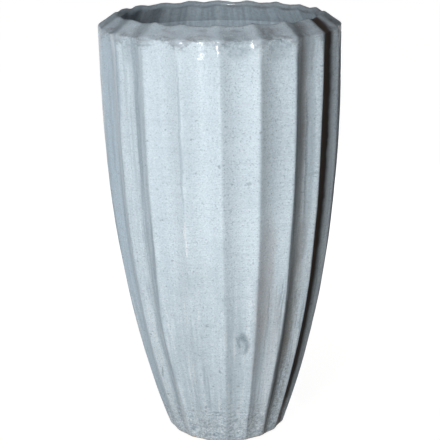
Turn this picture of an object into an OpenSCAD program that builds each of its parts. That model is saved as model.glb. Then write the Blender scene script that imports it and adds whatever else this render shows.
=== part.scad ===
// Tall fluted planter: a glazed stoneware pot luted together from a base slab, a fluted
// wall and an inturned rim collar. It stands on rubber pads and has a drain hole with a
// rubber plug that pulls out from below.
// Millimetres, +Z up, origin on the floor under the middle of the pot. A ridge lies on -Y.

/* [Pot] */
// Height from the floor to the top of the lip
pot_h = 800; // [740:5:900]
// Radius to the ridges at the widest point of the wall
belly_r = 218; // [190:1:240]
// Height of the widest point above the floor
belly_z = 730; // [660:5:750]
// Radius to the ridges at the foot
foot_r = 114; // [104:1:135]
// Power of the curve that draws the wall in below the widest point
taper_power = 2.4; // [2:0.05:2.8]
// Thickness of the wall behind the middle of a flute
wall_t = 13; // [9:0.5:18]

/* [Flutes] */
// Number of flutes around the pot
flute_count = 20; // [14:1:26]
// Depth of a flute below its ridges at the widest point of the wall
flute_depth = 9.5; // [4:0.5:12]
// Share of the flute depth that shows on the inside of the wall
inner_follow = 0.4; // [0:0.05:0.8]
// Share of the flute depth that the edge of the shoulder keeps
edge_follow = 0.7; // [0.4:0.05:1]
// Share of the flute depth that the lip keeps
lip_follow = 0.4; // [0.3:0.05:1]
// Share of the flute depth that the bottom edge keeps
foot_follow = 0.5; // [0.2:0.05:1]

/* [Rim] */
// Height of the rim collar above its joint with the wall
rim_h = 40; // [36:1:60]
// Rise of the sloping shoulder from its outer edge to the top of the lip
shoulder_h = 21; // [17:1:25]
// Run of the sloping shoulder from its outer edge to the crest of the lip
shoulder_w = 33; // [26:1:38]
// Radius that rounds the outer edge of the shoulder
edge_r = 8; // [4:0.5:10]
// Radius of the rounded lip
lip_r = 6; // [4:0.5:8]

/* [Base slab] */
// Thickness of the slab
slab_t = 28; // [22:1:36]
// Radius that rounds the bottom edge of the slab
foot_round = 6; // [3:0.5:10]
// Width of the ring that the slab stands on
stand_w = 30; // [26:1:40]
// Depth of the recess inside that ring
recess_h = 8; // [7:0.5:10]
// Radius of the drain hole
drain_r = 15; // [10:0.5:20]

/* [Drain plug] */
// Gap between the plug and the drain hole, and between its flange and the slab
plug_gap = 0.3; // [0.2:0.05:0.5]
// How far the sealing ribs stand out of the plug's shank
rib_h = 1.2; // [0.6:0.1:2]
// Width of each sealing rib
rib_w = 3; // [2:0.5:4]
// How far the flange reaches past the edge of the drain hole
flange_lap = 8; // [5:0.5:12]
// Thickness of the flange
flange_t = 3; // [2:0.5:4]
// Height of the finger grip under the flange
grip_h = 4; // [3:0.5:4.5]
// Thickness of the finger grip
grip_t = 6; // [4:0.5:10]

/* [Floor pads] */
// Number of pads under the slab
pad_count = 4; // [3:1:8]
// Radius of a pad
pad_r = 12; // [8:0.5:13]
// Thickness of a pad
pad_h = 4; // [3:0.5:6]
// Chamfer around the sole of a pad
pad_chamfer = 1; // [0.5:0.25:1.5]

/* [Hidden] */
glaze_colour = "#C6D3DA";
rubber_colour = "#2B2B2D";

// Facets across one flute, rings up the wall and steps along a rounded edge
flute_steps = 6;
wall_rings = 13;
arc_steps = 5;
around = flute_count * flute_steps;
// Smoothness of the turned pieces
turned_fn = 96;
// Depth by which a cutter passes the face that it opens
cut_over = 1;

// The pot stands on its pads, and its three clay pieces meet at two level joints
sole_z = pad_h;
floor_z = sole_z + slab_t;
rim_z = pot_h - rim_h;

// Radius to the ridges, and depth of a flute, at a height
function ridge_r(z) =
    belly_r - (belly_r - foot_r) * pow(abs(belly_z - z) / (belly_z - sole_z), taper_power);
function depth_at(z) = flute_depth * ridge_r(z) / belly_r;
// Radius to the inside of the wall behind a ridge
function inner_r(z) = ridge_r(z) - depth_at(z) * (1 - inner_follow) - wall_t;

function mix(a, b, share) = a + (b - a) * share;

// A station of a section is [r, z, dr, dz]: a point on a ridge, and its shift in mid flute
function outer_station(z) = [ridge_r(z), z, -depth_at(z), 0];
function inner_station(z) = [inner_r(z), z, -depth_at(z) * inner_follow, 0];

// Point of a station at one step around the pot: 0 on a ridge, 1 in the middle of a flute
function scallop(step) =
    let (across = 2 * (step % flute_steps) / flute_steps - 1)
    1 - across * across;
function station_point(s, step) =
    let (turn = step * 360 / around, r = s[0] + s[2] * scallop(step))
    [r * cos(turn), r * sin(turn), s[1] + s[3] * scallop(step)];

// Two triangles between stations a and b, from one step around the pot to the next
function strip(step, a, b, count) =
    let (here = step * count, next = ((step + 1) % around) * count)
    [[here + a, here + b, next + b], [here + a, next + b, next + a]];

// Fluted ring from a closed section of stations
module fluted_ring(stations) {
    count = len(stations);
    polyhedron(
        points = [for (step = [0:around - 1]) for (s = stations) station_point(s, step)],
        faces = [
            for (step = [0:around - 1])
                for (a = [0:count - 1])
                    each strip(step, a, (a + 1) % count, count)
        ]
    );
}

// Fluted solid from stations that run from its level sole to its level top
module fluted_disc(stations) {
    count = len(stations);
    polyhedron(
        points = [for (step = [0:around - 1]) for (s = stations) station_point(s, step)],
        faces = concat(
            [
                for (step = [0:around - 1])
                    for (a = [0:count - 2])
                        each strip(step, a, a + 1, count)
            ],
            [[for (step = [0:around - 1]) step * count]],
            [[for (step = [around - 1:-1:0]) step * count + count - 1]]
        )
    );
}

// Base slab: its flutes fade from the wall's depth down to its round bottom edge
sole_r = foot_r - foot_round;
recess_r = sole_r - depth_at(sole_z) * foot_follow - stand_w;

function foot_station(turn) =
    let (
        z = sole_z + foot_round * (1 - cos(turn)),
        follow = mix(foot_follow, 1, (z - sole_z) / slab_t)
    )
    [ridge_r(z) - foot_round * (1 - sin(turn)), z, -depth_at(z) * follow, 0];

module base_slab() {
    stations = concat(
        [for (i = [0:arc_steps]) foot_station(90 * i / arc_steps)],
        [outer_station(floor_z)]
    );
    color(glaze_colour)
    difference() {
        fluted_disc(stations);
        translate([0, 0, sole_z - cut_over])
            cylinder(r = recess_r, h = recess_h + cut_over, $fn = turned_fn);
        translate([0, 0, sole_z])
            cylinder(r = drain_r, h = slab_t + cut_over, $fn = turned_fn);
    }
}

// Fluted wall: stands on the slab and carries the rim collar
function wall_height(i) = floor_z + (rim_z - floor_z) * i / (wall_rings - 1);

module fluted_wall() {
    stations = concat(
        [for (i = [0:wall_rings - 1]) outer_station(wall_height(i))],
        [for (i = [wall_rings - 1:-1:0]) inner_station(wall_height(i))]
    );
    color(glaze_colour)
    fluted_ring(stations);
}

// Rim collar: the wall carries on up to the shoulder, which slopes in to a rounded lip
shoulder_z = pot_h - shoulder_h;
shoulder_r = ridge_r(shoulder_z);
lip_centre = [shoulder_r - shoulder_w, pot_h - lip_r];
// Angle of the shoulder's face above the level: its face line is tangent to the lip
face_turn = acos(lip_r / norm([shoulder_w, shoulder_h - lip_r]))
    - atan2(shoulder_h - lip_r, shoulder_w);
face = [cos(face_turn), sin(face_turn)];
edge_centre = [shoulder_r - edge_r, shoulder_z - edge_r * tan(face_turn / 2)];
// The throat runs straight from the lip to the inside of the wall: it is tangent to the lip too
throat = [inner_r(rim_z), rim_z] - lip_centre;
throat_turn = 360 + atan2(throat[1], throat[0]) - acos(lip_r / norm(throat));

// Station on an arc, with a flute shift that is a share of the depth along a direction
function arc_station(centre, r, turn, share, direction) =
    let (shift = -depth_at(shoulder_z) * share * direction)
    [
        centre[0] + r * cos(turn),
        centre[1] + r * sin(turn),
        shift[0],
        shift[1]
    ];
// Flutes shift level on the wall and square to the face on the shoulder
function edge_station(share) =
    let (turn = face_turn * share)
    arc_station(edge_centre, edge_r, turn, edge_follow, [cos(turn), sin(turn)]);
function lip_station(share) =
    arc_station(lip_centre, lip_r, mix(face_turn, throat_turn, share), lip_follow, face);

module rim_collar() {
    stations = concat(
        [outer_station(rim_z)],
        [for (i = [0:arc_steps]) edge_station(i / arc_steps)],
        [for (i = [0:2 * arc_steps]) lip_station(i / (2 * arc_steps))],
        [inner_station(rim_z)]
    );
    color(glaze_colour)
    fluted_ring(stations);
}

// Drain plug: a ribbed rubber bung with a flange under the slab and a finger grip
plug_top_z = floor_z;
flange_z = sole_z + recess_h - plug_gap;
plug_r = drain_r - plug_gap;
shank_r = plug_r - rib_h;
flange_r = drain_r + flange_lap;
// Ribs near both ends of the shank
rib_zs = [flange_z + rib_w, plug_top_z - 2 * rib_w];

module drain_plug() {
    color(rubber_colour) {
        rotate_extrude($fn = turned_fn)
            polygon([
                [0, flange_z - flange_t],
                [flange_r, flange_z - flange_t],
                [flange_r, flange_z],
                [shank_r, flange_z],
                for (z = rib_zs) each [[shank_r, z], [plug_r, z], [shank_r, z + rib_w]],
                [shank_r, plug_top_z],
                [0, plug_top_z]
            ]);
        translate([0, 0, flange_z - flange_t - grip_h])
            intersection() {
                cylinder(r = drain_r, h = grip_h, $fn = turned_fn);
                translate([-drain_r, -grip_t / 2, 0])
                    cube([2 * drain_r, grip_t, grip_h]);
            }
    }
}

// Floor pads: spread around the ring that the slab stands on
pad_ring_r = recess_r + stand_w / 2;

module floor_pad(i) {
    color(rubber_colour)
    rotate((i - 0.5) * 360 / pad_count)
    translate([pad_ring_r, 0, 0])
        rotate_extrude($fn = turned_fn)
            polygon([
                [0, 0],
                [pad_r - pad_chamfer, 0],
                [pad_r, pad_chamfer],
                [pad_r, pad_h],
                [0, pad_h]
            ]);
}

function pad_name(i) = str("floor_pad_", i);

base_slab();
fluted_wall();
rim_collar();
drain_plug();
for (i = [1:pad_count])
    floor_pad(i);
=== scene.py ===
"""Looks of the tall fluted planter: glazed stoneware, a rubber drain bung and rubber pads."""
import math

import bmesh
import bpy
from mathutils import Matrix, Vector, noise


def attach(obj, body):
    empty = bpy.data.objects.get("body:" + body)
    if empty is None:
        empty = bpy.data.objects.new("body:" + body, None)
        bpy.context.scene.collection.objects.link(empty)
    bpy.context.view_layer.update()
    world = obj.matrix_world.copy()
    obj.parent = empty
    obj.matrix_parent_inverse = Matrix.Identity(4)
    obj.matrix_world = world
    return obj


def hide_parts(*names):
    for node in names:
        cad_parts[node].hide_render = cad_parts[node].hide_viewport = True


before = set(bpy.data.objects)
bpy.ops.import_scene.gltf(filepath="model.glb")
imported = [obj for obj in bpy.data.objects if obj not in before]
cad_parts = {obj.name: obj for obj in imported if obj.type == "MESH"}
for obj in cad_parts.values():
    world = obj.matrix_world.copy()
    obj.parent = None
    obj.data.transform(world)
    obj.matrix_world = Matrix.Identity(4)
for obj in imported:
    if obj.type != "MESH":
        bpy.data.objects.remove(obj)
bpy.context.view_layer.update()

MM = 0.001

# Sizes of the pot, as in the part's source
POT_H = 800 * MM
BELLY_R = 218 * MM
BELLY_Z = 730 * MM
FOOT_R = 114 * MM
TAPER_POWER = 2.4
WALL_T = 13 * MM
FLUTE_COUNT = 20
FLUTE_DEPTH = 9.5 * MM
INNER_FOLLOW = 0.4
EDGE_FOLLOW = 0.7
LIP_FOLLOW = 0.4
FOOT_FOLLOW = 0.5
RIM_H = 40 * MM
SHOULDER_H = 21 * MM
SHOULDER_W = 33 * MM
EDGE_R = 8 * MM
LIP_R = 6 * MM
SLAB_T = 28 * MM
FOOT_ROUND = 6 * MM
STAND_W = 30 * MM
RECESS_H = 8 * MM
DRAIN_R = 15 * MM

# Sizes of the rubber pieces, as in the part's source
PLUG_GAP = 0.3 * MM
RIB_H = 1.2 * MM
RIB_W = 3 * MM
FLANGE_LAP = 8 * MM
FLANGE_T = 3 * MM
GRIP_H = 4 * MM
GRIP_T = 6 * MM
PAD_COUNT = 4
PAD_R = 12 * MM
PAD_H = 4 * MM
PAD_CHAMFER = 1 * MM

SOLE_Z = PAD_H
FLOOR_Z = SOLE_Z + SLAB_T
RIM_Z = POT_H - RIM_H
FLUTE_TURN = math.tau / FLUTE_COUNT

# Fineness of the clay meshes, distance within which points are one, and angle past which an edge looks sharp
STEPS_A_FLUTE = 20
AROUND = FLUTE_COUNT * STEPS_A_FLUTE
OUTER_RINGS = 110
INNER_RINGS = 26
ARC_STEPS = 8
WELD = 0.001 * MM
SHARP_EDGE = math.radians(40)


def mix(a, b, share):
    """Value at a share of the way from a to b."""
    return a + (b - a) * share


def eased(low, high, x):
    """0 up to low, 1 from high on and smooth between them; low may be the greater one."""
    share = min(max((x - low) / (high - low), 0.0), 1.0)
    return share * share * (3 - 2 * share)


# Sections of the pot. A station is (r, z, shift in r, shift in z): a point on a ridge, and the shift that
# takes it to its place in mid flute.
def ridge_r(z):
    """Radius to the ridges at a height."""
    fall = abs(BELLY_Z - z) / (BELLY_Z - SOLE_Z)
    return BELLY_R - (BELLY_R - FOOT_R) * fall ** TAPER_POWER


def depth_at(z):
    """Depth of a flute below its ridges at a height."""
    return FLUTE_DEPTH * ridge_r(z) / BELLY_R


def inner_r(z):
    """Radius to the inside of the wall behind a ridge."""
    return ridge_r(z) - depth_at(z) * (1 - INNER_FOLLOW) - WALL_T


# Heights between which the glaze fills the flutes more and more, under the shoulder
FILLED_FADE = (RIM_Z - 35 * MM, POT_H - SHOULDER_H)


def rim_fade(z):
    """Share of the flute depth that is left at a height near the rim."""
    return mix(1.0, EDGE_FOLLOW, eased(*FILLED_FADE, z))


def outer_station(z):
    """Station on the outside of the wall."""
    return ridge_r(z), z, -depth_at(z) * rim_fade(z), 0.0


def inner_station(z):
    """Station on the inside of the wall."""
    return inner_r(z), z, -depth_at(z) * INNER_FOLLOW, 0.0


def heights(low, high, rings):
    """Evenly spaced heights, with both ends."""
    return [mix(low, high, i / (rings - 1)) for i in range(rings)]


def between(start, end, steps):
    """Stations on the straight line between two stations, without its ends."""
    return [tuple(mix(a, b, i / steps) for a, b in zip(start, end)) for i in range(1, steps)]


def wall_section():
    """Closed section of the wall, and how many of its stations lie outside."""
    outside = [outer_station(z) for z in heights(FLOOR_Z, RIM_Z, OUTER_RINGS)]
    inside = [inner_station(z) for z in heights(RIM_Z, FLOOR_Z, INNER_RINGS)]
    return outside + inside, len(outside)


def arc_station(centre, radius, turn, share, direction):
    """Station on an arc, shifted in mid flute by a share of the depth against a direction."""
    shift = -depth_at(POT_H - SHOULDER_H) * share
    r = centre[0] + radius * math.cos(turn)
    z = centre[1] + radius * math.sin(turn)
    return r, z, shift * math.cos(direction), shift * math.sin(direction)


def rim_section():
    """Closed section of the rim: wall, round edge, shoulder, lip and throat."""
    shoulder_z = POT_H - SHOULDER_H
    shoulder_r = ridge_r(shoulder_z)
    lip_rise = SHOULDER_H - LIP_R
    face = math.acos(LIP_R / math.hypot(SHOULDER_W, lip_rise)) - math.atan2(lip_rise, SHOULDER_W)
    lip = (shoulder_r - SHOULDER_W, POT_H - LIP_R)
    edge = (shoulder_r - EDGE_R, shoulder_z - EDGE_R * math.tan(face / 2))
    reach = (inner_r(RIM_Z) - lip[0], RIM_Z - lip[1])
    throat = math.tau + math.atan2(reach[1], reach[0]) - math.acos(LIP_R / math.hypot(*reach))
    shares = [i / ARC_STEPS for i in range(ARC_STEPS + 1)]

    outside = [outer_station(z) for z in heights(RIM_Z, edge[1], ARC_STEPS)[:-1]]
    edge_arc = [arc_station(edge, EDGE_R, face * s, EDGE_FOLLOW, face * s) for s in shares]
    lip_arc = [arc_station(lip, LIP_R, mix(face, throat, s), LIP_FOLLOW, face) for s in shares]
    shoulder = between(edge_arc[-1], lip_arc[0], ARC_STEPS)
    seen = outside + edge_arc + shoulder + lip_arc
    inside = between(lip_arc[-1], inner_station(RIM_Z), ARC_STEPS)
    return seen + inside + [inner_station(RIM_Z)], len(seen)


SOLE_R = FOOT_R - FOOT_ROUND
RECESS_R = SOLE_R - depth_at(SOLE_Z) * FOOT_FOLLOW - STAND_W
RECESS_Z = SOLE_Z + RECESS_H
# Share of the flute depth that shows at the bottom edge, where the glaze has run together
FOOT_GLAZED = 0.3
# Rings across the slab's top face and across the recess, and the slab's broken and coved edges
SLAB_RING_RADII = (90 * MM, 60 * MM, 35 * MM, 20 * MM)
RECESS_RING_R = 35 * MM
SLAB_CHAMFER = 1.5 * MM
RECESS_COVE = 2 * MM


def foot_station(turn):
    """Station on the round bottom edge, from its sole at 0 to its side at a quarter turn."""
    z = SOLE_Z + FOOT_ROUND * (1 - math.cos(turn))
    follow = mix(FOOT_GLAZED, 1.0, (z - SOLE_Z) / SLAB_T)
    return ridge_r(z) - FOOT_ROUND * (1 - math.sin(turn)), z, -depth_at(z) * follow, 0.0


def plain_stations(outline):
    """Stations of turned points, which the flutes don't shift."""
    return [(r, z, 0.0, 0.0) for r, z in outline]


def foot_section():
    """Closed section of the slab: underside, round foot, top face and drain hole."""
    quarter = math.pi / 2
    foot = [foot_station(quarter * i / ARC_STEPS) for i in range(ARC_STEPS + 1)]
    side = between(foot[-1], outer_station(FLOOR_Z), ARC_STEPS) + [outer_station(FLOOR_Z)]
    top = [(r, FLOOR_Z) for r in SLAB_RING_RADII]
    hole = [(DRAIN_R + SLAB_CHAMFER, FLOOR_Z), (DRAIN_R, FLOOR_Z - SLAB_CHAMFER), (DRAIN_R, RECESS_Z)]
    recess = [
        (RECESS_RING_R, RECESS_Z),
        (RECESS_R - RECESS_COVE, RECESS_Z),
        (RECESS_R, RECESS_Z - RECESS_COVE),
        (RECESS_R, SOLE_Z + SLAB_CHAMFER),
        (RECESS_R + SLAB_CHAMFER, SOLE_Z),
    ]
    seen = plain_stations(recess) + foot + side
    return seen + plain_stations(top + hole), len(seen)


# Shape of one flute across its width, from -1 on one ridge to 1 on the next: how far the left flutes are
# creased in the middle, how round that crease and the ridges are, and how far points crowd towards ridges
CREASE_LEFT = 0.5
CREASE_ROUND = 0.06
RIDGE_ROUND = 0.15
RIDGE_ROUND_FRONT = 0.3
RIDGE_ROUND_ENDS = 0.7
CROWDING = 0.3
# Angles from the front between which the crease fades in
CREASE_FADE = (math.radians(-28), math.radians(-50))
# The ridges near this angle from the front are rounder: how far from it that starts and where it is full
ROUNDER_AT = math.radians(-9)
ROUNDER_FADE = (math.radians(30), math.radians(12))
# Heights between which the ridges get rounder towards the rim and towards the foot
ROUNDER_RIM = (POT_H - 60 * MM, POT_H - 20 * MM)
ROUNDER_FOOT = (40 * MM, 8 * MM)
# The flutes on the right were pressed deeper than the others, between these angles from the front
RIGHT_DEPTH = 1.28
RIGHT_FADE_IN = (math.radians(28), math.radians(48))
RIGHT_FADE_OUT = (math.radians(110), math.radians(85))


def from_front(turn):
    """Angle around the pot from its front, which faces -Y, positive to the right."""
    return (turn + math.pi / 2 + math.pi) % math.tau - math.pi


def flute_hollow(across, front, z):
    """0 on a ridge and 1 in the middle of a flute, with ridges rounded by the coat of glaze."""
    crease = CREASE_LEFT * eased(*CREASE_FADE, front)
    bend = math.hypot(across, CREASE_ROUND)
    hollow = max(0.0, 1 - (1 - crease) * across * across - crease * bend)
    soft = mix(RIDGE_ROUND, RIDGE_ROUND_FRONT, eased(*ROUNDER_FADE, abs(front - ROUNDER_AT)))
    soft = mix(soft, RIDGE_ROUND_ENDS, eased(*ROUNDER_RIM, z))
    soft = mix(soft, RIDGE_ROUND_ENDS, eased(*ROUNDER_FOOT, z))
    return (math.hypot(hollow, soft) - soft) / (math.hypot(1, soft) - soft)


# Unevenness of a wall made by hand: slow and quick waves, ridges that wander at the back, a leaning rim, a
# lumpy lip, and ridges that drift on the right. A fade gives the heights, or the angles from the front,
# where each starts and where it is full.
WAVE_SLOW = 95 * MM
WAVE_QUICK = 32 * MM
WAVE_SLOW_H = 0.8 * MM
WAVE_QUICK_H = 0.3 * MM
WANDER_TURN = math.radians(0.8)
WANDER_Z = 170 * MM
WANDER_ROUND = 2.2
WANDER_FADE = (math.radians(60), math.radians(90))
RIM_LEAN = math.radians(0.6)
LEAN_FADE = (500 * MM, POT_H)
LIP_LUMP = 13 * MM
LIP_LUMP_H = 1.1 * MM
LUMP_FADE = (POT_H - 18 * MM, POT_H - 5 * MM)
RIGHT_DRIFT = math.radians(-0.8)
DRIFT_FADE_IN = (math.radians(-12), math.radians(8))
DRIFT_FADE_OUT = (math.radians(90), math.radians(60))
# Places where the maker's hand pulled a ridge aside: angle from the front in degrees, height, and how far in
# degrees
HAND_PULLS = (
    (-36, 250 * MM, -2.6),
    (34, 120 * MM, -1.7),
    (36, 400 * MM, -0.8),
    (54, 600 * MM, -0.8),
    (54, 430 * MM, -0.9),
    (55, 130 * MM, -1.4),
    (-52, 560 * MM, 0.7),
)
# How far a pull reaches around the pot and up
PULL_TURN = math.radians(10)
PULL_Z = 110 * MM


def ridge_wander(turn, z):
    """Angle by which a ridge strays from its even place."""
    front = from_front(turn)
    place = Vector((math.cos(turn), math.sin(turn), 0)) * WANDER_ROUND
    place.z = z / WANDER_Z
    wander = WANDER_TURN * noise.noise(place) * eased(*WANDER_FADE, abs(front))
    wander += RIGHT_DRIFT * eased(*DRIFT_FADE_IN, front) * eased(*DRIFT_FADE_OUT, front)
    for angle, height, pull in HAND_PULLS:
        aside = (front - math.radians(angle)) / PULL_TURN
        above = (z - height) / PULL_Z
        wander += math.radians(pull) * math.exp(-aside * aside - above * above)
    return wander


def wall_wave(point):
    """How far the wall stands out or in at a point."""
    slow = noise.noise(point / WAVE_SLOW) * WAVE_SLOW_H
    quick = noise.noise(point / WAVE_QUICK) * WAVE_QUICK_H
    return slow + quick


def press_flutes(bm, shift, crest, inner, side):
    """Move each point of a spun clay body to its place in the flutes, with the hand's unevenness."""
    for v in bm.verts:
        r = math.hypot(v.co.x, v.co.y)
        place = math.atan2(v.co.y, v.co.x) / FLUTE_TURN
        flute = math.floor(place)
        across = 2 * (place - flute) - 1
        across += CROWDING * across * (1 - across * across)
        turn = (flute + (across + 1) / 2) * FLUTE_TURN
        front = from_front(turn)
        hollow = flute_hollow(across, front, v.co.z)
        on_right = eased(*RIGHT_FADE_IN, front) * eased(*RIGHT_FADE_OUT, front)
        hollow *= mix(1.0, RIGHT_DEPTH, on_right)
        dr, inside, dz = v[shift]
        z = v.co.z + dz * hollow
        loose = eased(RECESS_R, SOLE_R, r)
        turn += ridge_wander(turn, z) * loose
        r += dr * hollow
        spot = Vector((r * math.cos(turn), r * math.sin(turn), z))
        r += wall_wave(spot) * loose
        v.co = (r * math.cos(turn), r * math.sin(turn), z)
        v.co.z -= v.co.x * math.tan(RIM_LEAN) * eased(*LEAN_FADE, z)
        v.co.z += noise.noise(spot / LIP_LUMP) * LIP_LUMP_H * eased(*LUMP_FADE, z)
        v[crest] = max(0.0, 1 - hollow)
        v[inner] = inside
        v[side] = across


def spin_round(bm, geom, steps):
    """Spin a line once around the pot's axis and weld it where the ends meet."""
    bmesh.ops.spin(
        bm, geom=geom, cent=(0, 0, 0), axis=(0, 0, 1), angle=math.tau, steps=steps, use_merge=True
    )
    bmesh.ops.remove_doubles(bm, verts=bm.verts, dist=WELD)


def clay_body(name, section, outer_count):
    """Spin a closed section about the pot's axis and press the flutes into it; outer stations come first."""
    bm = bmesh.new()
    shift = bm.verts.layers.float_vector.new("flute_shift")
    crest = bm.verts.layers.float.new("crest")
    inner = bm.verts.layers.float.new("inside")
    side = bm.verts.layers.float.new("across")
    line = []
    for r, z, dr, dz in section:
        v = bm.verts.new((0, -r, z))
        # The middle number says whether the station is on the inside
        v[shift] = (dr, float(len(line) >= outer_count), dz)
        line.append(v)
    edges = [bm.edges.new(pair) for pair in zip(line, line[1:] + line[:1])]
    spin_round(bm, line + edges, AROUND)
    press_flutes(bm, shift, crest, inner, side)
    bm.verts.layers.float_vector.remove(shift)
    return finished(bm, name)


def finished(bm, name):
    """Turn a closed bmesh into a smooth object with its corners kept sharp."""
    bmesh.ops.recalc_face_normals(bm, faces=bm.faces)
    for face in bm.faces:
        face.smooth = True
    for edge in bm.edges:
        edge.smooth = edge.calc_face_angle(0.0) < SHARP_EDGE
    mesh = bpy.data.meshes.new(name)
    bm.to_mesh(mesh)
    bm.free()
    piece = bpy.data.objects.new(name, mesh)
    bpy.context.scene.collection.objects.link(piece)
    return piece


# Rubber pieces
TURNED_STEPS = 72
RUBBER_ROUND = 0.5 * MM
RUBBER_CORNER = math.radians(20)
RUBBER_SEGMENTS = 3
FLANGE_Z = RECESS_Z - PLUG_GAP
FLANGE_R = DRAIN_R + FLANGE_LAP
PLUG_R = DRAIN_R - PLUG_GAP
SHANK_R = PLUG_R - RIB_H
# Sloping edge under the bung's flange, and the dish in its top
SLOPE_W = 3 * MM
SLOPE_H = 1 * MM
DISH_EDGE_R = SHANK_R - 3 * MM
DISH_R = SHANK_R - 4 * MM
DISH_DEPTH = 1.5 * MM
# Finger bar under the flange: half its length, how far it is sunk into the flange, and its round ends
BAR_HALF = DRAIN_R - 1 * MM
BAR_SUNK = 0.4 * MM
BAR_END_ROUND = GRIP_T * 0.45
BAR_END_SEGMENTS = 6
# Grooves in the sides of the bar: their number, half the length that they cover, their depth and their slope
GROOVES = 7
GROOVED_HALF = BAR_HALF * 0.75
GROOVE_DEPTH = 0.6 * MM
GROOVE_SLOPE = 0.2 * MM
# A face of the bar is on one of its sides where its normal points along Y at least this much
SIDE_FACING = 0.9
# Rounding of the bar's edges
BAR_CORNER = math.radians(60)
BAR_ROUND = 0.25 * MM
BAR_SEGMENTS = 2
# Ring groove in the sole of a pad: its depth, and its edges and floor in shares of the pad's radius
RING_DEPTH = 0.5 * MM
RING_SHARES = (0.45, 0.48, 0.56, 0.59)


def corners(bm, angle):
    """Edges where two faces meet at more than an angle."""
    return [e for e in bm.edges if e.calc_face_angle(0.0) > angle]


def rounded(bm, edges, radius, segments):
    """Round off edges."""
    bmesh.ops.bevel(
        bm, geom=edges, offset=radius, affect="EDGES", segments=segments, profile=0.5, material=-1,
        clamp_overlap=True
    )


def turned_rubber(name, outline, centre=(0, 0, 0)):
    """Moulded rubber piece spun from an outline that starts and ends on its axis."""
    bm = bmesh.new()
    line = [bm.verts.new((r, 0, z)) for r, z in outline]
    edges = [bm.edges.new(pair) for pair in zip(line, line[1:])]
    spin_round(bm, line + edges, TURNED_STEPS)
    bmesh.ops.recalc_face_normals(bm, faces=bm.faces)
    rounded(bm, corners(bm, RUBBER_CORNER), RUBBER_ROUND, RUBBER_SEGMENTS)
    bmesh.ops.translate(bm, verts=bm.verts, vec=centre)
    return finished(bm, name)


def bung_outline():
    """Flange with a sloping edge, and a ribbed shank with a dished top, from below to above."""
    low = FLANGE_Z - FLANGE_T
    outline = [
        (0, low),
        (FLANGE_R - SLOPE_W, low),
        (FLANGE_R, low + SLOPE_H),
        (FLANGE_R, FLANGE_Z),
        (SHANK_R, FLANGE_Z),
    ]
    for z in (FLANGE_Z + RIB_W, FLOOR_Z - 2 * RIB_W):
        outline += [(SHANK_R, z), (PLUG_R, z), (SHANK_R, z + RIB_W)]
    outline += [
        (SHANK_R, FLOOR_Z),
        (DISH_EDGE_R, FLOOR_Z),
        (DISH_R, FLOOR_Z - DISH_DEPTH),
        (0, FLOOR_Z - DISH_DEPTH),
    ]
    return outline


def bung_grip():
    """Finger bar under the flange, with grooves in its sides and rounded edges."""
    low = FLANGE_Z - FLANGE_T - GRIP_H
    high = FLANGE_Z - FLANGE_T + BAR_SUNK
    bm = bmesh.new()
    bmesh.ops.create_cube(bm, size=1)
    bmesh.ops.scale(bm, verts=bm.verts, vec=(2 * BAR_HALF, GRIP_T, high - low))
    bmesh.ops.translate(bm, verts=bm.verts, vec=(0, 0, (high + low) / 2))
    upright = [e for e in bm.edges if abs(e.verts[0].co.z - e.verts[1].co.z) > WELD]
    rounded(bm, upright, BAR_END_ROUND, BAR_END_SEGMENTS)
    for i in range(1, 2 * GROOVES):
        x = mix(-GROOVED_HALF, GROOVED_HALF, i / (2 * GROOVES))
        geom = bm.verts[:] + bm.edges[:] + bm.faces[:]
        bmesh.ops.bisect_plane(bm, geom=geom, plane_co=(x, 0, 0), plane_no=(1, 0, 0), dist=WELD)
    bands = []
    for face in bm.faces:
        place = (face.calc_center_median().x / GROOVED_HALF + 1) * GROOVES
        on_side = abs(face.normal.y) > SIDE_FACING and 0 < place < 2 * GROOVES
        if on_side and int(place) % 2:
            bands.append(face)
    bmesh.ops.inset_individual(bm, faces=bands, thickness=GROOVE_SLOPE, depth=-GROOVE_DEPTH)
    rounded(bm, corners(bm, BAR_CORNER), BAR_ROUND, BAR_SEGMENTS)
    return finished(bm, "bung_grip")


def pad_outline():
    """Pad with a chamfered sole that has a shallow ring groove."""
    near_edge, near_floor, far_floor, far_edge = [PAD_R * share for share in RING_SHARES]
    return [
        (0, 0),
        (near_edge, 0),
        (near_floor, RING_DEPTH),
        (far_floor, RING_DEPTH),
        (far_edge, 0),
        (PAD_R - PAD_CHAMFER, 0),
        (PAD_R, PAD_CHAMFER),
        (PAD_R, PAD_H),
        (0, PAD_H),
    ]


# Materials
def linear(hex_colour):
    """Linear colour from an sRGB hex value."""
    shown = [int(hex_colour[i:i + 2], 16) / 255 for i in (1, 3, 5)]
    return tuple(c / 12.92 if c <= 0.04045 else ((c + 0.055) / 1.055) ** 2.4 for c in shown) + (1.0,)


def add(tree, kind, inputs=None, out=0, **settings):
    """Add a node with its settings, set or link its inputs and give one of its outputs."""
    node = tree.nodes.new(kind)
    for name, value in settings.items():
        setattr(node, name, value)
    for key, value in (inputs or {}).items():
        if isinstance(value, bpy.types.NodeSocket):
            tree.links.new(value, node.inputs[key])
        else:
            node.inputs[key].default_value = value
    return None if out is None else node.outputs[out]


def new_material(name):
    """Empty node material and its tree."""
    material = bpy.data.materials.new(name)
    material.use_nodes = True
    material.node_tree.nodes.clear()
    return material, material.node_tree


# Sockets of a colour Mix node, and inputs of a Map Range node
MIX_A = 6
MIX_B = 7
MIX_OUT = 2
VALUE, FROM_MIN, FROM_MAX, TO_MIN, TO_MAX = range(5)

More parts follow.
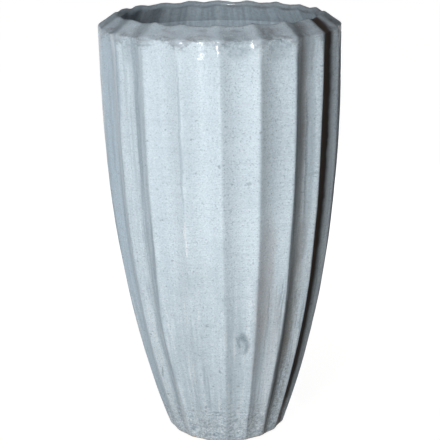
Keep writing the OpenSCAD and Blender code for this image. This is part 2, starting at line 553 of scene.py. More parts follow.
# Patterns in the glaze: width around the pot and height in millimetres, detail, and whether the brush drew
# them. Hairs, salt, grain and pepper are drawn two to four times coarser than real, because a pixel shows
# about 2 mm.
GLAZE_PATTERNS = {
    "clouds": (70, 90, 4, False),
    "veils": (20, 260, 3, True),
    "streaks": (9, 150, 3, True),
    "hairs": (3.4, 230, 1, True),
    "stains": (34, 130, 4, True),
    "brushing": (7, 60, 4, True),
    "throwing": (120, 3.5, 2, False),
    "smears": (26, 6, 3, False),
    "mottle": (7, 4.5, 4, False),
    "salt": (3.4, 2.6, 1, False),
    "grain": (2.8, 2.2, 2, False),
    "pepper": (3.2, 2.8, 1, False),
    "dashes": (8, 2.6, 2, False),
    "flecks": (14, 9, 2, False),
    "ripples": (11, 7, 2, False),
}
# Where each pattern shows: pattern, value where it starts, value where it is full, and its share there
GLAZE_MARKS = {
    "cloud": ("clouds", 0.40, 0.80, 0.6),
    "veil": ("veils", 0.34, 0.60, 0.54),
    "streak": ("streaks", 0.40, 0.75, 0.6),
    "pale streak": ("streaks", 0.48, 0.30, 0.75),
    "hair": ("hairs", 0.50, 0.72, 0.6),
    "stain": ("stains", 0.40, 0.64, 0.8),
    "brushing": ("brushing", 0.36, 0.72, 0.36),
    "pale brushing": ("brushing", 0.50, 0.32, 0.5),
    "throwing": ("throwing", 0.45, 0.75, 0.35),
    "smear": ("smears", 0.46, 0.64, 0.8),
    "pale smear": ("smears", 0.47, 0.34, 0.6),
    "mottle": ("mottle", 0.45, 0.61, 0.9),
    "pale mottle": ("mottle", 0.49, 0.37, 0.9),
    "salt": ("salt", 0.50, 0.78, 0.40),
    "grain": ("grain", 0.30, 0.72, 0.50),
    "pepper": ("pepper", 0.57, 0.77, 0.55),
    "dash": ("dashes", 0.63, 0.80, 0.4),
    "fleck": ("flecks", 0.70, 0.76, 0.5),
}
# Shift from one pattern to the next, so that no two lie alike, and the share that finer detail keeps
SHIFT_X = 3.7
SHIFT_Y = 1.3
DETAIL_SHARE = 0.55
# Sideways drift of the brush
BRUSH_DRIFT_SIZE = 120 * MM
BRUSH_DRIFT = 12 * MM
# Parts of the pot: what is measured, where the part starts to fade in and where it is full. Heights and
# places are in metres, angles from the front in radians, and the rest in shares of a flute.
GLAZE_PARTS = {
    "low half": ("height", 0.46, 0.18),
    "upper half": ("height", 0.36, 0.62),
    "foot": ("uneven height", 0.125, 0.030),
    "bare edge": ("uneven height", 0.0150, 0.0115),
    "shoulder": ("arched height", 0.780, 0.790),
    "shoulder edge": ("arched height", 0.805, 0.792),
    "edge line": ("arched height", 0.776, 0.785),
    "over edge line": ("arched height", 0.794, 0.786),
    "rim": ("height", 0.735, 0.765),
    "under shoulder": ("height", 0.786, 0.780),
    "mid right": ("angle", -0.03, 0.04),
    "right side": ("angle", 0.28, 0.45),
    "far right stain and shade": ("angle", 0.62, 0.70),
    "left side": ("angle", -0.60, -0.70),
    "left edge": ("angle", -0.92, -0.97),
    "left half": ("across", 0.30, -0.10),
    "right half": ("across", -0.15, 0.25),
    "crease": ("crest", 0.12, 0.03),
    "ridge": ("crest", 0.86, 1.0),
    "shady inside": ("sideways", -0.04, -0.15),
    "painted shade below rim": ("height", 0.772, 0.756),
}
# How far the mottle makes the edges of these parts uneven, and how far they dip on a ridge
UNEVEN_H = 12 * MM
RIDGE_DIP = 13 * MM

# Single marks in the glaze: pattern that breaks the mark up, angle from the front and height of its middle,
# half width, half height, tilt, tint and share, in degrees and millimetres
PLAIN = "plain"
HAND_MARKS = (
    (PLAIN, -18.8, 610, 3.5, 160, 0, "#9DADB8", 0.6),
    (PLAIN, -18.3, 437, 2.6, 52, 0, "#F4F8FA", 0.8),
    (PLAIN, -35.0, 270, 3.2, 90, 4, "#E6EEF2", 0.5),
    # Painted shade: darkens a band beside the ridge at -36 degrees that the light leaves too bright
    (PLAIN, -32.0, 580, 15, 360, 0, "#B0C0CB", 0.35),
    (PLAIN, 8.5, 768, 25, 30, 0, "#8A98A2", 0.5),
    (PLAIN, 27.0, 757, 24, 24, 0, "#8B98A2", 0.4),
    (PLAIN, -45.0, 752, 24, 30, 0, "#8B9AA6", 0.35),
    ("mottle", 7.5, 770, 26, 24, 0, "#78868F", 0.9),
    ("mottle", 27.0, 765, 22, 15, 0, "#84919B", 0.8),
    ("mottle", -44.0, 764, 24, 18, 0, "#84939F", 0.8),
    ("mottle", -63.0, 766, 22, 18, 0, "#7C8B97", 0.8),
    (PLAIN, 10.5, 228, 16, 31, 8, "#6F7D87", 0.85),
    (PLAIN, 9.5, 221, 11, 21, 8, "#BFCCD4", 0.8),
    (PLAIN, 7.6, 232, 4, 17, 25, "#84929B", 0.8),
    (PLAIN, 12.2, 536, 5, 4, 0, "#788790", 0.7),
    ("streak", -22.5, 140, 5, 60, 0, "#8C9CA7", 0.9),
    ("streak", -13.0, 140, 13, 65, 0, "#8C9CA7", 0.9),
    ("mottle", -16.3, 84, 5, 12, 0, "#5F6C74", 0.8),
    ("mottle", -8.5, 70, 18, 9, 0, "#66737C", 0.8),
    ("veil", -40.0, 392, 15, 70, 0, "#7E8D98", 0.9),
    ("streak", -43.0, 620, 6, 190, 0, "#6F818E", 0.7),
    ("streak", -40.0, 500, 6, 240, 1, "#74858F", 0.6),
    (PLAIN, -43.4, 600, 2.2, 110, 0, "#7A8A95", 0.5),
    (PLAIN, -37.4, 430, 3.2, 60, 0, "#74848F", 0.6),
    ("streak", -62.0, 600, 10, 200, 0, "#74858F", 1.0),
    (PLAIN, -41.6, 620, 3, 150, 0.5, "#7C8F9D", 0.55),
    (PLAIN, -42.6, 380, 5, 120, 0, "#7F919E", 0.4),
    (PLAIN, -39.4, 510, 5, 170, 0, "#D6E4EE", 0.55),
    (PLAIN, -50.5, 170, 16, 190, 0, "#E4EEF4", 0.6),
    (PLAIN, -37.0, 80, 14, 90, 0, "#E4EEF4", 0.75),
    (PLAIN, -66.5, 620, 5, 130, 0, "#8296A5", 0.4),
    (PLAIN, -62.2, 600, 5, 150, 0, "#D3E2ED", 0.55),
    (PLAIN, -57.5, 300, 22, 320, 0, "#DCEBF6", 0.8),
    (PLAIN, -56.5, 690, 20, 120, 0, "#8AA0B3", 0.8),
    (PLAIN, -50.8, 146, 3, 18, -14, "#75838D", 0.6),
    ("stain", 24.0, 250, 36, 250, 0, "#A59A96", 0.62),
    (PLAIN, 22.5, 340, 24, 170, 0, "#B0A5A1", 0.3),
    (PLAIN, 33.0, 290, 2.2, 60, -4, "#7B8288", 0.5),
    (PLAIN, 25.6, 290, 2.0, 75, 3, "#6C767D", 0.5),
    (PLAIN, 32.2, 320, 2.5, 32, -4, "#75818A", 0.55),
    (PLAIN, 29.5, 170, 18, 150, 0, "#DCE6EC", 0.55),
    (PLAIN, 30.5, 100, 3, 80, 11, "#E4ECF0", 0.6),
    (PLAIN, 42.0, 440, 22, 340, 0, "#B09A7C", 0.15),
    ("stain", 42.0, 655, 20, 130, 0, "#85766A", 0.8),
    (PLAIN, 40.8, 685, 13, 115, 0, "#937A64", 0.5),
    ("streak", 40.5, 690, 15, 115, 0, "#75604E", 0.8),
    (PLAIN, 45.5, 742, 14, 50, 0, "#7B7C7E", 0.55),
    (PLAIN, 45.0, 412, 16, 55, 0, "#82756A", 0.5),
    (PLAIN, 44.0, 250, 16, 80, 0, "#877866", 0.5),
    ("mottle", 44.0, 260, 20, 110, 0, "#6F5E4D", 0.5),
    ("stain", 43.0, 280, 26, 160, 0, "#8A7D70", 0.9),
    (PLAIN, 45.3, 570, 3.6, 150, 1, "#4A5055", 0.75),
    (PLAIN, 47.5, 560, 11, 240, 0, "#8E9AA2", 0.5),
    (PLAIN, 49.5, 533, 15, 4, 0, "#85929B", 0.5),
    ("mottle", 45.0, 110, 24, 110, 0, "#6E675F", 0.8),
    ("mottle", 25.0, 60, 22, 45, 0, "#6E6C69", 0.4),
    (PLAIN, 47.2, 250, 4, 110, 12, "#CBD5DA", 0.5),
    ("mottle", 23.0, 787, 18, 9, 0, "#6E666C", 0.8),
    (PLAIN, 44.0, 790, 18, 12, 0, "#5C5049", 0.6),
    ("stain", 97.0, 420, 22, 230, 0, "#87786E", 0.8),
    ("stain", 133.0, 240, 24, 170, 0, "#8E817A", 0.8),
    (PLAIN, 118.0, 330, 2, 90, 3, "#6C767D", 0.5),
    ("veil", 152.0, 560, 15, 120, 0, "#7E8D98", 0.9),
    (PLAIN, -162.0, 470, 2.6, 60, 0, "#F4F8FA", 0.7),
    ("stain", -128.0, 260, 22, 190, 0, "#94867F", 0.8),
    ("veil", -98.0, 500, 16, 180, 0, "#7E8D98", 0.9),
    (PLAIN, -145.0, 300, 2, 80, -3, "#6C767D", 0.5),
    (PLAIN, -80.0, 610, 2.6, 60, 0, "#F4F8FA", 0.6),
)
# Runs that hide the grain, with the same columns: dark ones that are partly the body showing through thin
# glaze and partly painted shade on flanks that face away from the light, and a pale one beside them that is
# painted light
PAINTED_SHADE_AND_THIN_RUNS = (
    (PLAIN, 40.0, 480, 12, 420, 0, "#4B4540", 0.12),
    (PLAIN, 37.8, 150, 9, 230, 0, "#3A3430", 0.55),
    (PLAIN, 39.4, 60, 16, 120, 0, "#3A3733", 0.5),
    (PLAIN, 37.0, 560, 5, 230, 0, "#4B4540", 0.35),
    # Painted shade along the right flank of the ridge near 54 degrees, low down
    (PLAIN, 56.6, 90, 17, 210, 0, "#33322F", 0.9),
    # Partly a brown run and partly painted shade in the flute near 60 degrees, which faces away from the
    # light
    (PLAIN, 60.6, 620, 27, 470, 0, "#3C312A", 0.95),
    (PLAIN, 60.6, 110, 27, 470, 0, "#3C312A", 0.95),
    ("stain", 60.5, 560, 14, 300, 0, "#5A4332", 0.8),
    # Painted light on the lit side of the last flute on the right
    (PLAIN, 67.5, 560, 10, 130, 0, "#C9D6DE", 0.45),
    # Brown on the shoulder above that flute, partly painted shade
    (PLAIN, 61.0, 788, 26, 18, 0, "#3B322C", 0.8),
)
# Wet beads where the glaze gathered: angle from the front and height of the middle, half width, half height
# and share, in degrees and millimetres
WET_SPOTS = (
    (-10.5, 776, 34, 7, 1.0),
    (-9.5, 751, 16, 9, 0.4),
    (16, 770, 13, 14, 1.0),
    (-1, 764, 8, 20, 1.0),
    (-18, 765, 4, 16, 0.5),
    (17.5, 752, 7, 20, 1.0),
    (-178, 793, 14, 7, 1.0),
    (173, 793, 16, 7, 1.0),
    (118, 768, 18, 12, 1.0),
    (-128, 766, 20, 12, 1.0),
)
# Radius at which the marks are measured out, and how ragged their edges are
MARK_R = 200 * MM
RAG_SIZE = 26 * MM
RAG = 9 * MM
NOISE_MIDDLE = (0.5, 0.5, 0.5)
# Share of a mark's half width that is as strong as its middle
MARK_CORE = 0.5
# Shares of the patterns in the relief of the glaze, wetness all along the rim, and height of the wet beads
PEPPER_RELIEF = 0.6
THROWING_RELIEF = 0.5
RIM_WET = 0.06
BEAD_HEIGHT = 1.6


def hand_mark(tree, place, angle, height, wide, high, tilt, share):
    """Share of a soft oval mark, which the third direction of its place keeps off the inside of the pot."""
    sockets = {
        "Vector": place,
        "Location": (math.radians(angle) * MARK_R, height * MM, 0),
        "Rotation": (0, 0, math.radians(tilt)),
        "Scale": (wide * MM, high * MM, MARK_R),
    }
    oval = add(tree, "ShaderNodeMapping", sockets, vector_type="TEXTURE")
    near = add(tree, "ShaderNodeTexGradient", {"Vector": oval}, out="Fac", gradient_type="SPHERICAL")
    sockets = {VALUE: near, FROM_MIN: 0.0, FROM_MAX: 1.0 - MARK_CORE, TO_MIN: 0.0, TO_MAX: share}
    return add(tree, "ShaderNodeMapRange", sockets, interpolation_type="SMOOTHSTEP")


def hand_layers(tree, place, marks, rows):
    """Give the layers of single marks one by one: tint, share of the oval, and the pattern that breaks it up.

    Each oval's nodes are made just before its layer is laid, so that the shader holds few values at once.
    """
    for pattern, angle, height, wide, high, tilt, tint, share in rows:
        spot = hand_mark(tree, place, angle, height, wide, high, tilt, share)
        yield (tint, spot) if pattern == PLAIN else (tint, spot, marks[pattern])


def glazed_over(tree, colour, layers):
    """Lay layers of glaze over a colour, each with its tint and the shares that are multiplied."""
    for tint, share, *others in layers:
        for other in others:
            share = add(tree, "ShaderNodeMath", {0: share, 1: other}, operation="MULTIPLY")
        sockets = {0: share, MIX_A: colour, MIX_B: linear(tint)}
        colour = add(tree, "ShaderNodeMix", sockets, out=MIX_OUT, data_type="RGBA")
    return colour


def glazed_stoneware():
    """Satin ash-blue glaze, brushed on and fired: mottled, specked with iron, thin and brown in streaks;
    painted shade darkens the flutes on the right and a few other places, and painted light lightens the
    inside.
    """
    material, tree = new_material("satin_blue_grey_glaze_on_stoneware")
    coords = add(tree, "ShaderNodeTexCoord", out="Object")
    split = add(tree, "ShaderNodeSeparateXYZ", {0: coords}).node.outputs
    x, y, z = split[0], split[1], split[2]
    backwards = add(tree, "ShaderNodeMath", {0: y, 1: -1.0}, operation="MULTIPLY")
    front = add(tree, "ShaderNodeMath", {0: x, 1: backwards}, operation="ARCTAN2")
    crest = add(tree, "ShaderNodeAttribute", out="Fac", attribute_name="crest")
    inside = add(tree, "ShaderNodeAttribute", out="Fac", attribute_name="inside")
    across = add(tree, "ShaderNodeAttribute", out="Fac", attribute_name="across")

    # The brush follows the flutes, so its place is measured on a straight cylinder, and it drifts to and fro
    level = add(tree, "ShaderNodeCombineXYZ", {0: x, 1: y})
    outward = add(tree, "ShaderNodeVectorMath", {0: level}, operation="NORMALIZE")
    sockets = {0: outward, 1: (MARK_R, MARK_R, 0), 2: add(tree, "ShaderNodeCombineXYZ", {2: z})}
    straight = add(tree, "ShaderNodeVectorMath", sockets, operation="MULTIPLY_ADD")
    sockets = {"Vector": coords, "Scale": 1 / BRUSH_DRIFT_SIZE, "Detail": 1.0}
    sway = add(tree, "ShaderNodeTexNoise", sockets, out="Color")
    sockets = {0: sway, 1: (BRUSH_DRIFT, BRUSH_DRIFT, 0), 2: straight}
    brushed = add(tree, "ShaderNodeVectorMath", sockets, operation="MULTIPLY_ADD")
    patterns = {}
    for count, (name, (around, up, detail, by_brush)) in enumerate(GLAZE_PATTERNS.items()):
        sockets = {
            "Vector": brushed if by_brush else coords,
            "Location": (SHIFT_X * count, SHIFT_Y * count, 0),
            "Scale": (1 / (around * MM), 1 / (around * MM), 1 / (up * MM)),
        }
        stretched = add(tree, "ShaderNodeMapping", sockets)
        sockets = {"Vector": stretched, "Scale": 1.0, "Detail": detail, "Roughness": DETAIL_SHARE}
        patterns[name] = add(tree, "ShaderNodeTexNoise", sockets)
    marks = {}
    for name, (pattern, low, high, share) in GLAZE_MARKS.items():
        sockets = {VALUE: patterns[pattern], FROM_MIN: low, FROM_MAX: high, TO_MIN: 0.0, TO_MAX: share}
        marks[name] = add(tree, "ShaderNodeMapRange", sockets, interpolation_type="SMOOTHSTEP")

    # Parts of the pot, each from what it measures
    sockets = {0: patterns["mottle"], 1: UNEVEN_H, 2: z}
    uneven_z = add(tree, "ShaderNodeMath", sockets, operation="MULTIPLY_ADD")
    arched_z = add(tree, "ShaderNodeMath", {0: crest, 1: RIDGE_DIP, 2: uneven_z}, operation="MULTIPLY_ADD")
    measures = {
        "height": z,
        "uneven height": uneven_z,
        "arched height": arched_z,
        "angle": front,
        "across": across,
        "crest": crest,
        "sideways": x,
    }
    parts = {}
    for name, (measure, off, on) in GLAZE_PARTS.items():
        sockets = {VALUE: measures[measure], FROM_MIN: off, FROM_MAX: on, TO_MIN: 0.0, TO_MAX: 1.0}
        parts[name] = add(tree, "ShaderNodeMapRange", sockets, interpolation_type="SMOOTHSTEP")

    # Place on the outside of the pot, with a ragged shift: metres around and up, and 1 on the inside
    around = add(tree, "ShaderNodeMath", {0: front, 1: MARK_R}, operation="MULTIPLY")
    place = add(tree, "ShaderNodeCombineXYZ", {0: around, 1: z, 2: inside})
    sockets = {"Vector": coords, "Scale": 1 / RAG_SIZE, "Detail": 3.0}
    rag = add(tree, "ShaderNodeTexNoise", sockets, out="Color")
    rag = add(tree, "ShaderNodeVectorMath", {0: rag, 1: NOISE_MIDDLE}, operation="SUBTRACT")
    place = add(tree, "ShaderNodeVectorMath", {0: rag, 1: (RAG, RAG, 0), 2: place}, operation="MULTIPLY_ADD")

    # Layers of glaze over the base coat, in the order in which they are laid; those on the far right are
    # partly painted shade
    coats = (
        ("#C2D0D9", marks["cloud"]),
        ("#A6B7C3", parts["left edge"], 0.2),
        ("#73899B", marks["veil"], parts["left side"], parts["right half"]),
        ("#788C9B", marks["streak"], parts["left side"], parts["crease"]),
        ("#DDE9F1", marks["pale streak"], parts["left side"], 0.8),
        ("#6F808C", marks["hair"], parts["left side"], 0.55),
        ("#5F7587", marks["brushing"], parts["left side"], 0.35),
        ("#DCEBF6", marks["pale brushing"], parts["left side"]),
        ("#B4D0E6", parts["left edge"], 0.45),
        ("#98A8B3", marks["streak"], parts["low half"], 0.65),
        ("#9DACB7", marks["veil"], parts["low half"], 0.3),
        ("#A2B1BB", marks["cloud"], parts["low half"], 0.45),
        ("#A3B1BB", marks["smear"], parts["low half"], 0.2),
        ("#EEF5F8", marks["pale streak"], parts["low half"], 0.8),
        ("#8C9AA4", marks["hair"], parts["low half"], 0.35),
        ("#A3958C", marks["stain"], parts["right side"], parts["low half"], 0.25),
        # Brown on the right-facing flanks of the far right flutes: partly thin glaze over the body, partly
        # painted shade
        ("#86776A", marks["stain"], parts["far right stain and shade"], parts["left half"], 0.5),
        ("#6F7376", marks["hair"], parts["right side"], parts["low half"], 0.7),
        # Darker hairs on the far right, partly painted shade
        ("#5F6468", marks["hair"], parts["far right stain and shade"], 0.5),
        ("#A3AFB9", parts["shoulder"], 0.57),
        ("#8B878F", parts["shoulder"], parts["shoulder edge"], 0.45),
        ("#706A6E", parts["shoulder"], parts["shoulder edge"], marks["smear"]),
        ("#C6D3DC", parts["shoulder"], marks["pale smear"]),
        ("#5E6468", parts["edge line"], parts["over edge line"], marks["mottle"], 0.8),
        ("#75828B", parts["foot"], marks["smear"], 0.4),
        ("#E4ECF0", parts["foot"], marks["pale smear"], 0.9),
        ("#5A6770", parts["foot"], marks["mottle"], 0.45),
        ("#404C54", parts["foot"], marks["mottle"], marks["smear"], 0.7),
        ("#F0F5F8", parts["foot"], marks["pale mottle"], 0.3),
    )
    grain = (
        ("#B2C0CA", marks["throwing"]),
        ("#B2C1CB", marks["mottle"], 0.2),
        ("#EAF1F5", marks["salt"]),
        ("#A6B6C0", marks["grain"]),
        ("#80909B", marks["pepper"]),
        ("#788994", marks["dash"]),
        ("#B3C1CB", parts["upper half"], 0.22),
        ("#7C8C97", marks["pepper"], parts["mid right"], parts["upper half"], 0.5),
        ("#8C9BA6", marks["mottle"], parts["right side"], parts["upper half"], 0.15),
        ("#6A7882", marks["fleck"]),
        ("#4E5B63", marks["pepper"], parts["foot"], 0.7),
        ("#EEF3F6", marks["salt"], parts["foot"]),
        ("#66737B", marks["grain"], parts["foot"], 0.2),
        ("#A9B8C2", parts["ridge"], marks["cloud"]),
    )
    within = (
        # Lighter coat inside the pot: painted light, standing in for the light that the rim keeps out
        ("#DFF0FB", inside, 0.95),
        # Painted shade on the inside wall below the rim, which the light otherwise leaves brighter than the
        # throat above it
        ("#A3B3C0", parts["painted shade below rim"], inside, 0.40),
        ("#6C7D8B", marks["brushing"], inside, 0.5),
        ("#5C6C79", marks["streak"], inside, 0.4),
        ("#EEF6FB", marks["pale streak"], inside, 0.4),
        ("#768795", marks["mottle"], inside, 0.22),
        # Painted shade on the left of the inside, with a mauve-brown stain
        ("#5E5558", parts["shady inside"], inside, 0.4),
        ("#DAD2C6", parts["bare edge"]),
    )
    colour = glazed_over(tree, linear("#D8E5ED"), coats)
    colour = glazed_over(tree, colour, hand_layers(tree, place, marks, HAND_MARKS))
    colour = glazed_over(tree, colour, grain)
    # Runs of thin glaze, with painted shade and one painted light among them
    colour = glazed_over(tree, colour, hand_layers(tree, place, marks, PAINTED_SHADE_AND_THIN_RUNS))
    colour = glazed_over(tree, colour, within)

    # Relief of the glaze, and a clear wet coat that gathers in beads
    sockets = {0: patterns["pepper"], 1: PEPPER_RELIEF, 2: patterns["mottle"]}
    relief = add(tree, "ShaderNodeMath", sockets, operation="MULTIPLY_ADD")
    sockets = {0: patterns["throwing"], 1: THROWING_RELIEF, 2: relief}
    relief = add(tree, "ShaderNodeMath", sockets, operation="MULTIPLY_ADD")
    wet = add(tree, "ShaderNodeMath", {0: parts["rim"], 1: parts["under shoulder"]}, operation="MULTIPLY")
    wet = add(tree, "ShaderNodeMath", {0: wet, 1: RIM_WET}, operation="MULTIPLY")
    for angle, height, wide, high, share in WET_SPOTS:
        spot = hand_mark(tree, place, angle, height, wide, high, 0, share)
        wet = add(tree, "ShaderNodeMath", {0: wet, 1: spot}, operation="MAXIMUM")
    sockets = {0: wet, 1: BEAD_HEIGHT, 2: patterns["ripples"]}
    beads = add(tree, "ShaderNodeMath", sockets, operation="MULTIPLY_ADD")
    satin = {VALUE: patterns["clouds"], FROM_MIN: 0.3, FROM_MAX: 0.8, TO_MIN: 0.45, TO_MAX: 0.6}
    gloss = {VALUE: wet, FROM_MIN: 0.0, FROM_MAX: 1.0, TO_MIN: 0.02, TO_MAX: 0.95}
    surface = {
        "Base Color": colour,
        "Roughness": add(tree, "ShaderNodeMapRange", satin),
        "IOR": 1.5,
        "Specular IOR Level": 0.25,
        "Coat Weight": add(tree, "ShaderNodeMapRange", gloss),
        "Coat Roughness": 0.08,
        "Coat Normal": add(tree, "ShaderNodeBump", {"Height": beads, "Strength": 0.6, "Distance": 1.2 * MM}),
        "Normal": add(tree, "ShaderNodeBump", {"Height": relief, "Strength": 0.4, "Distance": 0.7 * MM}),
    }
    shader = add(tree, "ShaderNodeBsdfPrincipled", surface)
    add(tree, "ShaderNodeOutputMaterial", {"Surface": shader}, out=None)
    return material


# Sizes of the grog and the scorched patches in the bare clay, and of the rubber's skin and bloom
GROG_SIZE = 2.5 * MM
SCORCH_SIZE = 60 * MM
SKIN_SIZE = 1.2 * MM
BLOOM_SIZE = 9 * MM


def bare_stoneware():
    """Unglazed fired clay under the foot: matt, sandy buff with dark grog."""
    material, tree = new_material("bare_buff_stoneware")
    coords = add(tree, "ShaderNodeTexCoord", out="Object")
    grog = add(tree, "ShaderNodeTexNoise", {"Vector": coords, "Scale": 1 / GROG_SIZE, "Detail": 3.0})
    scorch = add(tree, "ShaderNodeTexNoise", {"Vector": coords, "Scale": 1 / SCORCH_SIZE, "Detail": 2.0})
    sockets = {0: scorch, MIX_A: linear("#C9B79E"), MIX_B: linear("#A88F75")}
    body = add(tree, "ShaderNodeMix", sockets, out=MIX_OUT, data_type="RGBA")
    specks = add(tree, "ShaderNodeMapRange", {VALUE: grog, FROM_MIN: 0.60, FROM_MAX: 0.72})
    sockets = {0: specks, MIX_A: body, MIX_B: linear("#6E5B4A")}
    surface = {
        "Base Color": add(tree, "ShaderNodeMix", sockets, out=MIX_OUT, data_type="RGBA"),
        "Roughness": 0.9,
        "Specular IOR Level": 0.3,
        "Normal": add(tree, "ShaderNodeBump", {"Height": grog, "Strength": 0.5, "Distance": 0.5 * MM}),
    }
    shader = add(tree, "ShaderNodeBsdfPrincipled", surface)
    add(tree, "ShaderNodeOutputMaterial", {"Surface": shader}, out=None)
    return material


def moulded_rubber():
    """Black rubber from a mould: matt, with a fine skin and a pale bloom in patches."""
    material, tree = new_material("moulded_black_rubber")
    coords = add(tree, "ShaderNodeTexCoord", out="Object")
    skin = add(tree, "ShaderNodeTexNoise", {"Vector": coords, "Scale": 1 / SKIN_SIZE, "Detail": 3.0})
    bloom = add(tree, "ShaderNodeTexNoise", {"Vector": coords, "Scale": 1 / BLOOM_SIZE, "Detail": 3.0})
    sockets = {VALUE: bloom, FROM_MIN: 0.4, FROM_MAX: 0.75, TO_MIN: 0.0, TO_MAX: 0.6}
    share = add(tree, "ShaderNodeMapRange", sockets)
    sockets = {0: share, MIX_A: linear("#29292B"), MIX_B: linear("#454548")}
    matt = {VALUE: bloom, FROM_MIN: 0.3, FROM_MAX: 0.8, TO_MIN: 0.55, TO_MAX: 0.8}
    surface = {
        "Base Color": add(tree, "ShaderNodeMix", sockets, out=MIX_OUT, data_type="RGBA"),
        "Roughness": add(tree, "ShaderNodeMapRange", matt),
        "IOR": 1.52,
        "Normal": add(tree, "ShaderNodeBump", {"Height": skin, "Strength": 0.3, "Distance": 0.15 * MM}),
    }
    shader = add(tree, "ShaderNodeBsdfPrincipled", surface)
    add(tree, "ShaderNodeOutputMaterial", {"Surface": shader}, out=None)
    return material


# The pieces on their bodies
PAD_RING_R = RECESS_R + STAND_W / 2
# A face of the foot is bare clay where its normal points down more than this
UNDERSIDE = -0.5

glaze = glazed_stoneware()
clay = bare_stoneware()
rubber = moulded_rubber()

clay_pieces = (
    ("stoneware_foot", foot_section(), "base_slab"),
    ("stoneware_wall", wall_section(), "fluted_wall"),
    ("stoneware_rim", rim_section(), "rim_collar"),
)
for name, section, node in clay_pieces:
    piece = clay_body(name, *section)
    piece.data.materials.append(glaze)
    piece.data.materials.append(clay)
    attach(piece, "pot")
    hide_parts(node)
    if node == "base_slab":
        for face in piece.data.polygons:
            face.material_index = int(face.normal.z < UNDERSIDE or face.center.xy.length < DRAIN_R)

bung = turned_rubber("rubber_bung", bung_outline())
grip = bung_grip()
for piece in (bung, grip):
    piece.data.materials.append(rubber)
    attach(piece, "plug")
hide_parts("drain_plug")

for i in range(PAD_COUNT):
    turn = (i + 0.5) * math.tau / PAD_COUNT
    centre = (PAD_RING_R * math.cos(turn), PAD_RING_R * math.sin(turn), 0)
    pad = turned_rubber(f"rubber_pad_{i + 1}", pad_outline(), centre)
    pad.data.materials.append(rubber)
    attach(pad, "pot")
    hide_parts(f"floor_pad_{i + 1}")


# Floor, light and camera
FLOOR_HALF = 30.0
WORLD_GLOW = 0.02
# The floor's own glow near the pot grows to white between two distances from the pot's axis
FLOOR_GLOW = 0.93
GLOW_NEAR = 0.2
GLOW_FAR = 1.5


def seen_rays(tree):
    """1 for rays that show the background: straight to the camera, mirrored or through glass."""
    path = add(tree, "ShaderNodeLightPath").node.outputs
    sockets = {0: path["Is Camera Ray"], 1: path["Is Glossy Ray"]}
    either = add(tree, "ShaderNodeMath", sockets, operation="MAXIMUM")
    return add(tree, "ShaderNodeMath", {0: either, 1: path["Is Transmission Ray"]}, operation="MAXIMUM")


def studio_floor():
    """Floor that looks white to the camera and in reflections, and keeps the pot's shadow."""
    bm = bmesh.new()
    bmesh.ops.create_grid(bm, x_segments=1, y_segments=1, size=FLOOR_HALF)
    floor = finished(bm, "floor")
    material, tree = new_material("white_studio_floor")
    coords = add(tree, "ShaderNodeTexCoord", out="Object")
    away = add(tree, "ShaderNodeVectorMath", {0: coords}, out="Value", operation="LENGTH")
    sockets = {VALUE: away, FROM_MIN: GLOW_NEAR, FROM_MAX: GLOW_FAR, TO_MIN: FLOOR_GLOW, TO_MAX: 1.0}
    sweep = add(tree, "ShaderNodeMapRange", sockets)
    glow = add(tree, "ShaderNodeMath", {0: seen_rays(tree), 1: sweep}, operation="MULTIPLY")
    shine = add(tree, "ShaderNodeEmission", {"Strength": glow})
    paint = add(tree, "ShaderNodeBsdfDiffuse", {"Color": linear("#7A7875")})
    both = add(tree, "ShaderNodeAddShader", {0: shine, 1: paint})
    add(tree, "ShaderNodeOutputMaterial", {"Surface": both}, out=None)
    floor.data.materials.append(material)


# Black felt on the shaded side and behind the pot, with a mat of it on the floor: from one angle around the
# pot to the other, its radius and height, and the mat's inner radius and height above the floor
FLAG_FROM = math.radians(70)
FLAG_TO = math.radians(235)
FLAG_R = 0.9
FLAG_H = 1.7
MAT_R = 0.16
MAT_T = 0.002
FLAG_STEPS = 24


def black_flag():
    """Curved black felt that keeps the white studio out of the glaze near the pot's edges, unseen itself."""
    bm = bmesh.new()
    outward = Vector((math.sin(FLAG_FROM), -math.cos(FLAG_FROM), 0))
    mat = Vector((0, 0, MAT_T))
    top = Vector((0, 0, FLAG_H))
    profile = (MAT_R * outward + mat, FLAG_R * outward + mat, FLAG_R * outward + top)
    line = [bm.verts.new(spot) for spot in profile]
    edges = [bm.edges.new(pair) for pair in zip(line, line[1:])]
    sweep = FLAG_TO - FLAG_FROM
    bmesh.ops.spin(bm, geom=line + edges, cent=(0, 0, 0), axis=(0, 0, 1), angle=sweep, steps=FLAG_STEPS)
    flag = finished(bm, "black_flag")
    material, tree = new_material("black_felt")
    felt = add(tree, "ShaderNodeBsdfDiffuse", {"Color": linear("#141210")})
    add(tree, "ShaderNodeOutputMaterial", {"Surface": felt}, out=None)
    flag.data.materials.append(material)
    flag.visible_camera = False
    flag.visible_shadow = False


def studio_world():
    """White surroundings for the camera and for reflections, and a dim warm glow as light."""
    world = bpy.data.worlds.new("studio")
    world.use_nodes = True
    tree = world.node_tree
    tree.nodes.clear()
    dim = add(tree, "ShaderNodeBackground", {"Color": linear("#B8A48F"), "Strength": WORLD_GLOW})
    white = add(tree, "ShaderNodeBackground", {"Color": linear("#FFFFFF"), "Strength": 1.0})
    either = add(tree, "ShaderNodeMixShader", {0: seen_rays(tree), 1: dim, 2: white})
    add(tree, "ShaderNodeOutputWorld", {"Surface": either}, out=None)
    bpy.context.scene.world = world


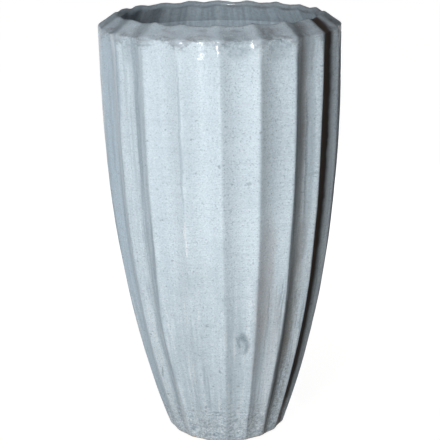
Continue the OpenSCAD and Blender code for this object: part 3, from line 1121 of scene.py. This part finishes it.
# Soft boxes: name, angle from the front in degrees, distance from the pot's axis, height, width and height of
# the lit face, power in watts, and the height on the axis at which it points; lengths in metres
SOFT_BOXES = (
    ("low_key", -19, 2.1, 0.24, 0.5, 0.4, 18.8, 0.3),
    ("high_key", -19, 2.2, 1.50, 0.5, 0.5, 26.3, 0.6),
    ("front_fill", 25, 2.4, 1.00, 0.6, 0.8, 7.0, 0.5),
    ("back", 151, 2.1, 0.50, 0.4, 0.8, 30, 0.5),
    ("back_left", -140, 2.1, 0.50, 0.6, 0.8, 8.5, 0.5),
)


def soft_box(name, angle, distance, height, wide, high, power, aim_z):
    """Soft box at an angle around the pot, positive to the right of the front, turned to the pot's axis."""
    turn = math.radians(angle)
    data = bpy.data.lights.new(name, "AREA")
    data.shape = "RECTANGLE"
    data.size = wide
    data.size_y = high
    data.energy = power
    lamp = bpy.data.objects.new(name, data)
    bpy.context.scene.collection.objects.link(lamp)
    spot = Vector((distance * math.sin(turn), -distance * math.cos(turn), height))
    lamp.location = spot
    lamp.rotation_euler = (Vector((0, 0, aim_z)) - spot).to_track_quat("-Z", "Y").to_euler()


def photo_camera():
    """Camera at the photograph's place: 2 m away, a little above the rim and a little rolled."""
    place = (0, -2.0, 1.0328)
    focal_px = 1110.1
    frame_px = 440
    sensor_mm = 36
    pitch = math.radians(17.281)
    yaw = math.radians(0.177)
    roll = math.radians(-1.086)
    data = bpy.data.cameras.new("camera")
    data.sensor_width = sensor_mm
    data.lens = sensor_mm * focal_px / frame_px
    camera = bpy.data.objects.new("camera", data)
    bpy.context.scene.collection.objects.link(camera)
    turned = Matrix.Rotation(yaw, 4, "Z")
    tipped = Matrix.Rotation(math.pi / 2 - pitch, 4, "X")
    rolled = Matrix.Rotation(roll, 4, "Z")
    camera.matrix_world = Matrix.Translation(place) @ turned @ tipped @ rolled
    bpy.context.scene.camera = camera


studio_floor()
black_flag()
studio_world()
for box in SOFT_BOXES:
    soft_box(*box)
photo_camera()
bpy.context.scene.view_settings.view_transform = "Standard"
